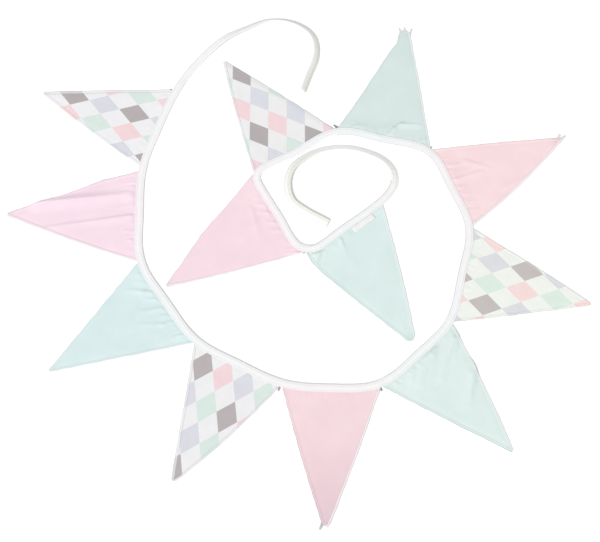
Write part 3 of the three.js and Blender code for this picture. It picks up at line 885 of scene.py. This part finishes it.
def diamond_cotton(printed):
    """The printed cotton as it is cut for one pennant."""
    material, tree, surface, cloth = cotton(f"diamond_cotton_{printed.index + 1:02d}", 0.42, 0.5)
    skew = {"Vector": cloth, "Rotation": (0, 0, -math.radians(printed.skew))}
    place = node(tree, "ShaderNodeSeparateXYZ", {0: node(tree, "ShaderNodeMapping", skew).outputs[0]})
    along = calc(tree, "SUBTRACT", place.outputs[0], printed.first_column * MM)
    outwards = calc(tree, "SUBTRACT", place.outputs[1], printed.first_row * MM)
    column = calc(tree, "DIVIDE", along, printed.width * MM)
    row = calc(tree, "DIVIDE", outwards, printed.length * MM)
    nearest_column, nearest_row = calc(tree, "ROUND", column), calc(tree, "ROUND", row)
    off_column = calc(tree, "ABSOLUTE", calc(tree, "SUBTRACT", column, nearest_column))
    off_row = calc(tree, "ABSOLUTE", calc(tree, "SUBTRACT", row, nearest_row))
    off_centre = calc(tree, "ADD", off_column, off_row)
    in_diamond = node(tree, "ShaderNodeMapRange", {0: off_centre, 1: 0.49, 2: 0.51, 3: 1.0, 4: 0.0})

    # Each row's own shift along the repeat of four colours, so that its grey falls in its place
    rows = len(printed.grey_diamonds)
    shift_stops = [
        (number / rows, (place_of_grey % 4 / 4,) * 3 + (1.0,))
        for number, place_of_grey in enumerate(printed.grey_diamonds)
    ]
    at_row = calc(tree, "DIVIDE", calc(tree, "ADD", nearest_row, 0.5), rows)
    shift = calc(tree, "MULTIPLY", ramp(tree, at_row, shift_stops, "CONSTANT"), 4.0)
    shifted = calc(tree, "SUBTRACT", nearest_column, calc(tree, "ROUND", shift))
    turn = calc(tree, "FLOORED_MODULO", shifted, 4.0)
    in_order = (printed.grey, printed.mint, printed.blue, printed.pink)
    if printed.turned:
        in_order = (printed.grey, printed.pink, printed.blue, printed.mint)
    paint_stops = [(number / 4, tone(*colour)) for number, colour in enumerate(in_order)]
    at_turn = calc(tree, "DIVIDE", calc(tree, "ADD", turn, 0.5), 4.0)
    paints = ramp(tree, at_turn, paint_stops, "CONSTANT")
    printed_colour = mixed(tree, in_diamond.outputs[0], tone(*printed.white), paints)
    wear = mottled(tree, cloth, (1, 1, 1, 1), (PRINT_WEAR, PRINT_WEAR, PRINT_WEAR, 1), 60.0)
    worn = multiplied(tree, printed_colour, wear)
    # Its dark tone is the seam line, and the painted shade along the very edges
    edged = with_sides(tree, worn, printed.index, tone(243, 243, 245), tone(168, 170, 172))
    tree.links.new(edged, surface.inputs["Base Color"])
    return material


for printed in PRINTS:
    make_pennant(printed.index, "diamonds", diamond_cotton(printed))

# The tufts
# Little ends of the seam allowance, frayed and greyed, that stick out at some tips, and beside
# the tape at some of the pennants' corners, where the darker ones are partly frayed cloth and
# partly painted shade for the small gaps there. They are the same cottons as the pennants.
Tuft = namedtuple("Tuft", "x0 y0 x1 y1 width shade")
TUFTS = [
    Tuft(-206, 306, -210, 311, 5, "dark"),
    Tuft(60, 242, 54, 247, 5.5, "dark"),
    Tuft(-30, -180, -32, -187, 4.5, "dark"),
    Tuft(118, -181, 121, -187, 5.5, "dark"),
    Tuft(206, 204, 210, 209, 4, "grey"),
    Tuft(8, 33, 5, 28, 4.5, "grey"),
    Tuft(33, -377, 28, -387, 6, "grey"),
    Tuft(42, -377, 38, -384, 5, "pale"),
    Tuft(411, 219, 415, 230, 7, "pale"),
    Tuft(412, 217, 424, 228, 7, "pale"),
    Tuft(167, 410, 164, 424, 5.5, "pale"),
    Tuft(173, 412, 173, 425, 5.5, "pale"),
    Tuft(180, 408, 185, 423, 6, "pale"),
]
# dark: the scraps at the corners, partly painted shade for the small gaps there
TUFT_SHADES = {"dark": (172, 168, 170), "grey": (208, 203, 205), "pale": (238, 237, 236)}
TUFT_DARKER = 16  # how much darker its second tone is
TUFT_THICKNESS = 0.65
TUFT_ROWS = 9
TUFT_COLUMNS = 11


def tuft_places(tuft):
    """A small pointed scrap of cloth, rounded over and frayed at its end."""
    start, end = np.array((tuft.x0, tuft.y0)), np.array((tuft.x1, tuft.y1))
    length = np.linalg.norm(end - start)
    ahead = (end - start) / length
    aside = np.array((-ahead[1], ahead[0]))
    over_part, side_part = np.meshgrid(
        np.linspace(-1, 1, TUFT_ROWS), np.linspace(0, 1, TUFT_COLUMNS)
    )
    over_part, side_part = over_part.T, side_part.T
    frayed = 1 + 0.12 * uneven(over_part * 4, side_part * 0 + tuft.x0, 1.3, 2.2)
    half_width = tuft.width / 2 * (1 - 0.5 * side_part)
    flat = start + (side_part * length * frayed)[..., None] * ahead
    flat = flat + (over_part * half_width)[..., None] * aside
    plump = np.sqrt(np.clip(1 - over_part**2, 0.01, 1)) * np.sqrt(np.clip(1 - side_part**4, 0.02, 1))
    under = np.concatenate((flat, np.full_like(plump, 0.06)[..., None]), -1)
    over = np.concatenate((flat, (0.1 + TUFT_THICKNESS * plump)[..., None]), -1)
    return under, over


for shade, colour in TUFT_SHADES.items():
    frayed_cotton, tree, surface, cloth = cotton(f"frayed_cotton_{shade}", 0.42, 0.6)
    darker = [value - TUFT_DARKER for value in colour]
    frayed_shade = mottled(tree, cloth, tone(*colour), tone(*darker), 300.0)
    tree.links.new(frayed_shade, surface.inputs["Base Color"])
    tuft_points, tuft_faces = [], []
    for tuft in TUFTS:
        if tuft.shade == shade:
            first = 2 * TUFT_ROWS * TUFT_COLUMNS * len(tuft_points)
            tuft_points.append(np.stack(tuft_places(tuft)))
            for face in sheet_faces(TUFT_ROWS, TUFT_COLUMNS):
                tuft_faces.append(tuple(first + point for point in face))
    tuft_points = np.stack(tuft_points)
    tufts = make_piece(
        f"tufts_{shade}", tuft_points, tuft_faces, frayed_cotton, {"cloth": tuft_points[..., :2] * MM}
    )
    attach(tufts, "root")

# The label
# A folded piece of ivory ribbon, sewn in under the tape's edge on the last pennant. It is bare.
LABEL_START = 84
LABEL_LENGTH = 40
LABEL_REACH = 9
LABEL_GAP = 0.3
LABEL_THICKNESS = 0.7
LABEL_LIFT = 0.35  # above the pennant's cloth
LABEL_ROUNDING = 0.5
LABEL_ROUGHNESS = 0.6
label_ribbon, tree, surface, cloth = cotton("label_ribbon", 0.3, 0.6)
label_shade = mottled(tree, cloth, tone(251, 250, 250), tone(246, 245, 245), 90.0)
tree.links.new(label_shade, surface.inputs["Base Color"])
surface.inputs["Roughness"].default_value = LABEL_ROUGHNESS

label_across = np.linspace(0, LABEL_LENGTH, 41)
label_reach = np.array([0, 0.15, 0.4, 0.9, 2, 3.5, 5, 6.5, 7.6, 8.2, 8.6, 8.85, 9.0])
across_label, out_of_edge = np.meshgrid(label_across, label_reach)
_, _, last_length = span_of(LAST)
label_part = (LABEL_START + across_label) / last_length
label_flat = beside_tape(part_stations(LAST, label_part), LABEL_GAP + out_of_edge)
label_crease = np.zeros_like(out_of_edge)
for crease in CREASES:
    if crease.pennant == LAST + 1:
        label_crease = label_crease + crease_height(LAST, crease, label_flat) * rise(
            out_of_edge + LABEL_GAP, DROP_START, FOLD_START
        )
label_height = TOP_HEIGHT * (1 - rise(out_of_edge + LABEL_GAP, DROP_START, DROP_END))
label_height = label_height + label_crease + TWO_LAYERS + LABEL_LIFT
label_height = label_height + 0.15 * uneven(across_label, out_of_edge, 12, 5.5)
to_label_end = np.minimum(across_label, LABEL_LENGTH - across_label)
label_edge = np.minimum(to_label_end * 1.5, LABEL_REACH - out_of_edge)
label_round = np.sqrt(1 - (1 - np.clip(label_edge / LABEL_ROUNDING, 0, 1)) ** 2)
label_round = np.maximum(label_round, 0.15)
label_half = LABEL_THICKNESS / 2
label_under = np.concatenate((label_flat, (label_height + label_half * (1 - label_round))[..., None]), -1)
label_over = np.concatenate((label_flat, (label_height + label_half * (1 + label_round))[..., None]), -1)
label_map = np.stack((across_label, out_of_edge), -1)
label = make_piece(
    "ribbon_label",
    np.stack((label_under, label_over)),
    sheet_faces(*across_label.shape),
    label_ribbon,
    {"cloth": np.stack((label_map, label_map)) * MM},
)
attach(label, "root")
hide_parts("label")

# The table top and the light
# A plain white surface, so bright that it shows no edge, under an even studio sky and one broad,
# soft lamp high on the near left.
table_white = bpy.data.materials.new("table_white")
table_white.use_nodes = True
table_surface = table_white.node_tree.nodes["Principled BSDF"]
table_surface.inputs["Base Color"].default_value = (0.9, 0.9, 0.9, 1.0)
table_surface.inputs["Roughness"].default_value = 0.9
table_mesh = bpy.data.meshes.new("table_top")
TABLE_HALF = 6.0  # metres
TABLE_DROP = -0.00005
corner_signs = ((-1, -1), (1, -1), (1, 1), (-1, 1))
table_corners = [(x * TABLE_HALF, y * TABLE_HALF, TABLE_DROP) for x, y in corner_signs]
table_mesh.from_pydata(table_corners, [], [(0, 1, 2, 3)])
table_mesh.materials.append(table_white)
table_top = bpy.data.objects.new("table_top", table_mesh)
bpy.context.scene.collection.objects.link(table_top)

SKY_STRENGTH = 0.62
LAMP_STRENGTH = 2.75
LAMP_WIDTH = 35  # degrees of sky that the lamp fills
LAMP_FROM = Vector((-0.45, -0.75, 1.0))
studio = bpy.data.worlds.new("studio")
studio.use_nodes = True
studio.node_tree.nodes["Background"].inputs[0].default_value = (1.0, 0.995, 0.97, 1.0)
studio.node_tree.nodes["Background"].inputs[1].default_value = SKY_STRENGTH
bpy.context.scene.world = studio
lamp = bpy.data.objects.new("lamp", bpy.data.lights.new("lamp", "SUN"))
lamp.data.energy = LAMP_STRENGTH
lamp.data.angle = math.radians(LAMP_WIDTH)
lamp.data.color = (0.98, 0.985, 1.0)
lamp.rotation_euler = LAMP_FROM.to_track_quat("Z", "Y").to_euler()
bpy.context.scene.collection.objects.link(lamp)
bpy.context.scene.view_settings.view_transform = "Standard"
